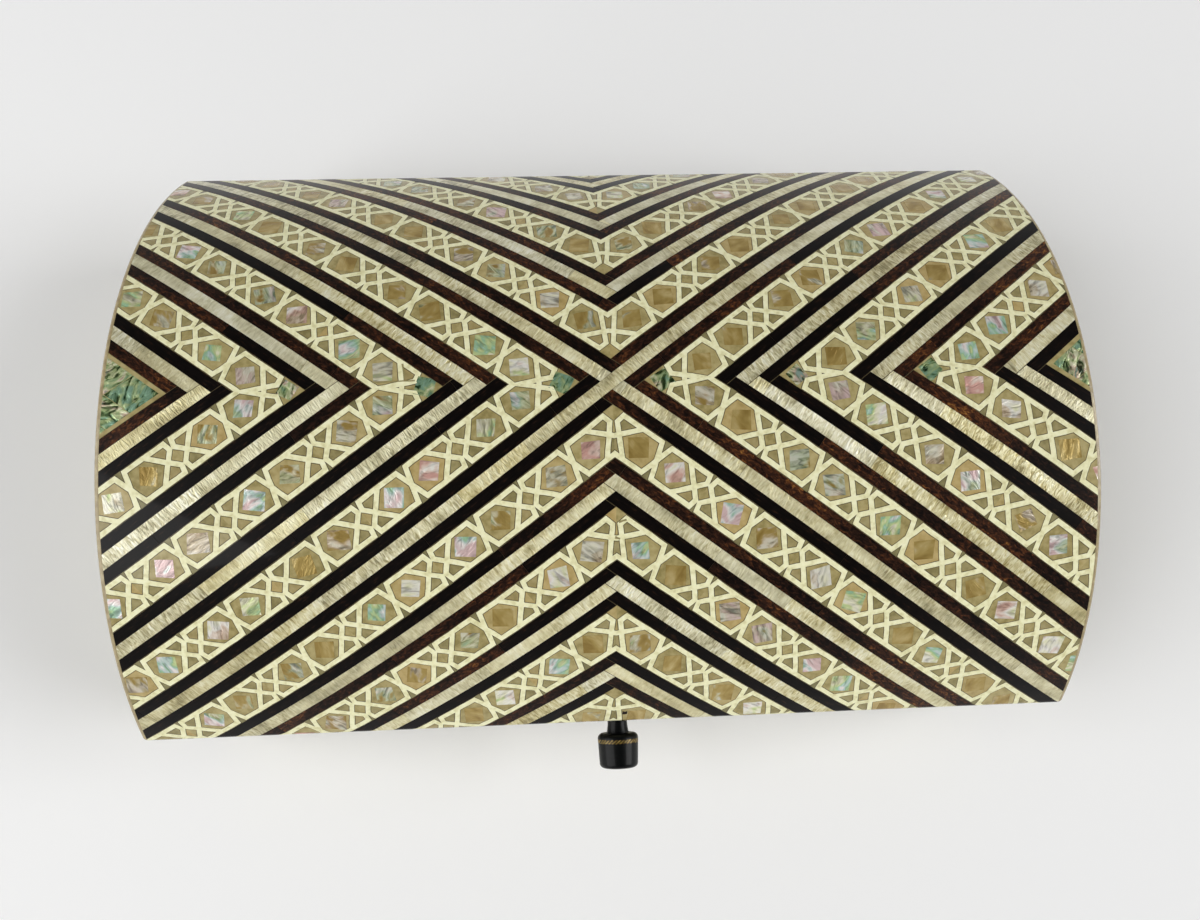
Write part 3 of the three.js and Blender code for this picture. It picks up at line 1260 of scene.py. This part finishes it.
def chip_look():
    """Shell squares: shimmering, dull, or worn so thin that amber glue shows in place of them; their
    second tint also carries painted shade, which makes squares further back duller and more often amber.
    """
    look = Look("shell_chip", 0.25, metallic=0.25)
    tone, kind, hue = look.tints()
    streaks = look.noise((0.32, 0.95, 1.0), 4, 0.9)
    clouds = look.noise((0.25, 0.4, 1.7), 2, 0.4)
    play = look.ramp(look.total([hue, look.swing(clouds, 1.2)]), [
        (0.04, "d8a99c"), (0.16, "ebd3c3"), (0.3, "f6f3e9"), (0.46, "efecca"),
        (0.57, "cddb9b"), (0.67, "a3cba4"), (0.77, "c3d8d0"), (0.87, "f3ece6"), (0.97, "dfc2bf"),
    ])
    dull = look.ramp(streaks, [(0.34, "5f6046"), (0.46, "98936f"), (0.6, "cfcbb0")])
    amber = look.ramp(clouds, [(0.3, "92793f"), (0.5, "ab9456"), (0.7, "c6b27a")])
    light = look.ramp(streaks, [(0.32, "bdbdbd"), (0.48, "f2f2f2"), (0.62, "ffffff")])
    bright = look.mix(1, play, light, "MULTIPLY")
    silver = look.mix(0.3, dull, bright)
    # Wear and painted shade: the second tint, lowered towards the back as painted shade, picks dull,
    # shimmering or amber with the clouds
    wear_and_painted_shade = look.total([kind, look.swing(clouds, 0.9)])
    shell = look.mix(look.step(wear_and_painted_shade, 0.5, 0.7), silver, bright)
    look.paint(look.mix(look.step(wear_and_painted_shade, 0.26, 0.36), amber, shell))
    look.bump(look.total([streaks, look.weighed(tone, 0.2)]), 0.0004, 0.6)
    return look.material


def abalone_look():
    """Green shell with dark winding growth lines and pink and blue lights."""
    look = Look("abalone", 0.22, metallic=0.3)
    hue = look.tints()[2]
    clouds = look.noise((0.3, 0.5, 1.4), 3, 0.6)
    lines = look.noise((0.35, 0.62, 1.0), 4, 1.3)
    wander = look.total([look.weighed(hue, 0.5), look.swing(clouds, 2.4)], 0.2)
    play = look.ramp(wander, [
        (0.06, "88ab92"), (0.26, "a2b98c"), (0.46, "c4cf9c"),
        (0.64, "e9e7c8"), (0.8, "d8bbaa"), (0.94, "98b0a8"),
    ])
    dark = look.ramp(lines, [(0.34, "36432f"), (0.42, "83927a"), (0.5, "dfe2d6"), (0.64, "ffffff")])
    look.paint(look.mix(1, play, dark, "MULTIPLY"))
    look.bump(lines, 0.0005, 0.6)
    return look.material


def wood_look():
    """Varnished walnut, with its grain along the box."""
    look = Look("walnut", 0.45, coat=0.3, coat_roughness=0.25)
    rings = look.noise((16, 240, 240), 4, 0.6, look.space())
    pores = look.noise((120, 1800, 1800), 2, 0.0, look.space())
    look.paint(look.ramp(rings, [(0.3, "2b170c"), (0.5, "4a2c18"), (0.7, "664226")]))
    look.bump(pores, 0.0002, 0.3)
    return look.material


# The plain looks: the roughness, the noise's frequencies and detail, the colours, and the finish
DULL_BLACK = {"coat": 0.15, "specular": 0.1}
RESIN_STOPS = [(0.3, "8f7f5c"), (0.55, "a6966f"), (0.75, "b8a983")]
EBONY_STOPS = [(0.3, "060505"), (0.6, "100b09"), (0.74, "2c1c12")]
BONE_STOPS = [(0.3, "dad4a2"), (0.5, "efecc0"), (0.7, "f6f4cf")]
GLUE_STOPS = [(0.3, "4f4630"), (0.7, "655a3e")]
POLISH_STOPS = [(0.3, "030404"), (0.7, "0a0c0c")]
GILT_STOPS = [(0.3, "4a3a18"), (0.45, "a98840"), (0.65, "e3c470")]
EDGE = mottled_look("edge_resin", 0.3, (0.8, 0.8, 0.8), 4, RESIN_STOPS)
EBONY = mottled_look("ebony", 0.3, (0.5, 2.2, 1.0), 5, EBONY_STOPS, **DULL_BLACK)
BONE = mottled_look("bone", 0.4, (0.9, 0.9, 0.9), 5, BONE_STOPS)
GLUE = mottled_look("glue_bed", 0.5, (1.5, 1.5, 1.5), 3, GLUE_STOPS)
GILT = mottled_look("gilt", 0.4, (2.2, 2.2, 2.2), 4, GILT_STOPS, metallic=0.3, coat=0.2)
POLISH = mottled_look(
    "black_polish", 0.4, (0.3, 2.0, 1.0), 4, POLISH_STOPS,
    relief=(0.0001, 0.2), coat_roughness=0.12, **DULL_BLACK,
)
LOOKS = {
    "edge": ("rolled_edges", EDGE),
    "pearl": ("mother_of_pearl_strips", pearl_look()),
    "ebony": ("ebony_strips", EBONY),
    "tortoise": ("tortoise_strips", tortoise_look()),
    "bone": ("bone_strapwork", BONE),
    "resin": ("resin_fields", resin_look()),
    "chips": ("shell_chips", chip_look()),
    "abalone": ("abalone_panels", abalone_look()),
    "bed": ("glue_bed", GLUE),
}


def build_group(prefix, pieces, nodes):
    for kind, (label, material) in LOOKS.items():
        if pieces[kind].faces:
            pieces[kind].build(f"{prefix}_{label}", material, "inlay", nodes if kind == "bed" else ())


build_group("lid_top", lid_top, ["lid_top_inlay"])
build_group("lid_side", lid_sides, [f"lid_{side}_inlay" for side in SIDES])
build_group("base", base_sides, [f"base_{side}_inlay" for side in SIDES])
knob.build("turned_knob", POLISH, "knob", ["knob"])
gilt.build("knob_gilt_ring", GILT, "knob")

walnut = wood_look()
for name in ("lid_body", "base_body"):
    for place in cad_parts[name].material_slots:
        place.material = walnut

# Camera and lights, in metres, radians and watts: the camera from the photo's outline and strips, and
# the softboxes by place, side and power
LENS = 25.36
SENSOR_WIDTH = 36
CAMERA_PLACE = (-0.0094, -0.05, 0.2261)
CAMERA_TURN = (0.2203, -0.0368, -0.0376)
LIGHT_AIM = (0, 0, 0.03)
SOFTBOXES = {
    "left_softbox": ((-1.25, -0.35, 0.9), 1.5, 22.5),
    "right_softbox": ((1.75, -0.2, 1.0), 1.3, 28),
}

# Backdrop: the sky's height and brightness where its walls begin and where its ceiling does; the floor's
# half-width, the distances from the box between which it fades, and how much it reflects and glows there
SKY_HEIGHTS = (0.05, 0.75)
SKY_LEVELS = (0.58, 0.06)
FLOOR_REACH = 12
FLOOR_FADE = (0.3, 1.1)
FLOOR_PAINT = (0.97, 0.12)
FLOOR_GLOW = (0, 0.54)

camera_data = bpy.data.cameras.new("camera")
camera_data.lens = LENS
camera_data.sensor_width = SENSOR_WIDTH
camera = placed("camera", camera_data, CAMERA_PLACE, CAMERA_TURN)
bpy.context.scene.camera = camera

for name, (place, side, power) in SOFTBOXES.items():
    softbox = bpy.data.lights.new(name, "AREA")
    softbox.size = side
    softbox.energy = power
    aim = (Vector(LIGHT_AIM) - Vector(place)).to_track_quat("-Z", "Y").to_euler()
    placed(name, softbox, place, aim)


def studio_world():
    """Pale walls all round that fade to a dim ceiling."""
    world = bpy.data.worlds.new("studio")
    world.use_nodes = True
    tree = world.node_tree
    sky = tree.nodes["Background"].inputs
    spot = node(tree, "ShaderNodeTexCoord").outputs["Generated"]
    height = node(tree, "ShaderNodeSeparateXYZ", {0: spot}).outputs["Z"]
    tree.links.new(smooth_fade(tree, height, *SKY_HEIGHTS, *SKY_LEVELS), sky["Strength"])
    sky["Color"].default_value = (1, 1, 1, 1)
    return world


def floor_paint():
    """Pale paint; far from the box it reflects less and glows instead, and so runs into the backdrop."""
    look = Look("pale_floor", 0.7, coat=0)
    spot = look.space()
    distance = look.node("ShaderNodeVectorMath", {0: spot}, operation="LENGTH").outputs["Value"]
    for label, levels in (("Base Color", FLOOR_PAINT), ("Emission Strength", FLOOR_GLOW)):
        look.feed(label, smooth_fade(look.tree, distance, *FLOOR_FADE, *levels))
    look.shader.inputs["Emission Color"].default_value = (1, 1, 1, 1)
    return look.material


bpy.context.scene.world = studio_world()
floor_mesh = bpy.data.meshes.new("floor")
corners = rectangle((-FLOOR_REACH, -FLOOR_REACH), (FLOOR_REACH, FLOOR_REACH))
floor_mesh.from_pydata([(x, y, 0) for x, y in corners], [], [(0, 1, 2, 3)])
floor_mesh.materials.append(floor_paint())
floor = placed("floor", floor_mesh)

bpy.context.scene.view_settings.view_transform = "Standard"
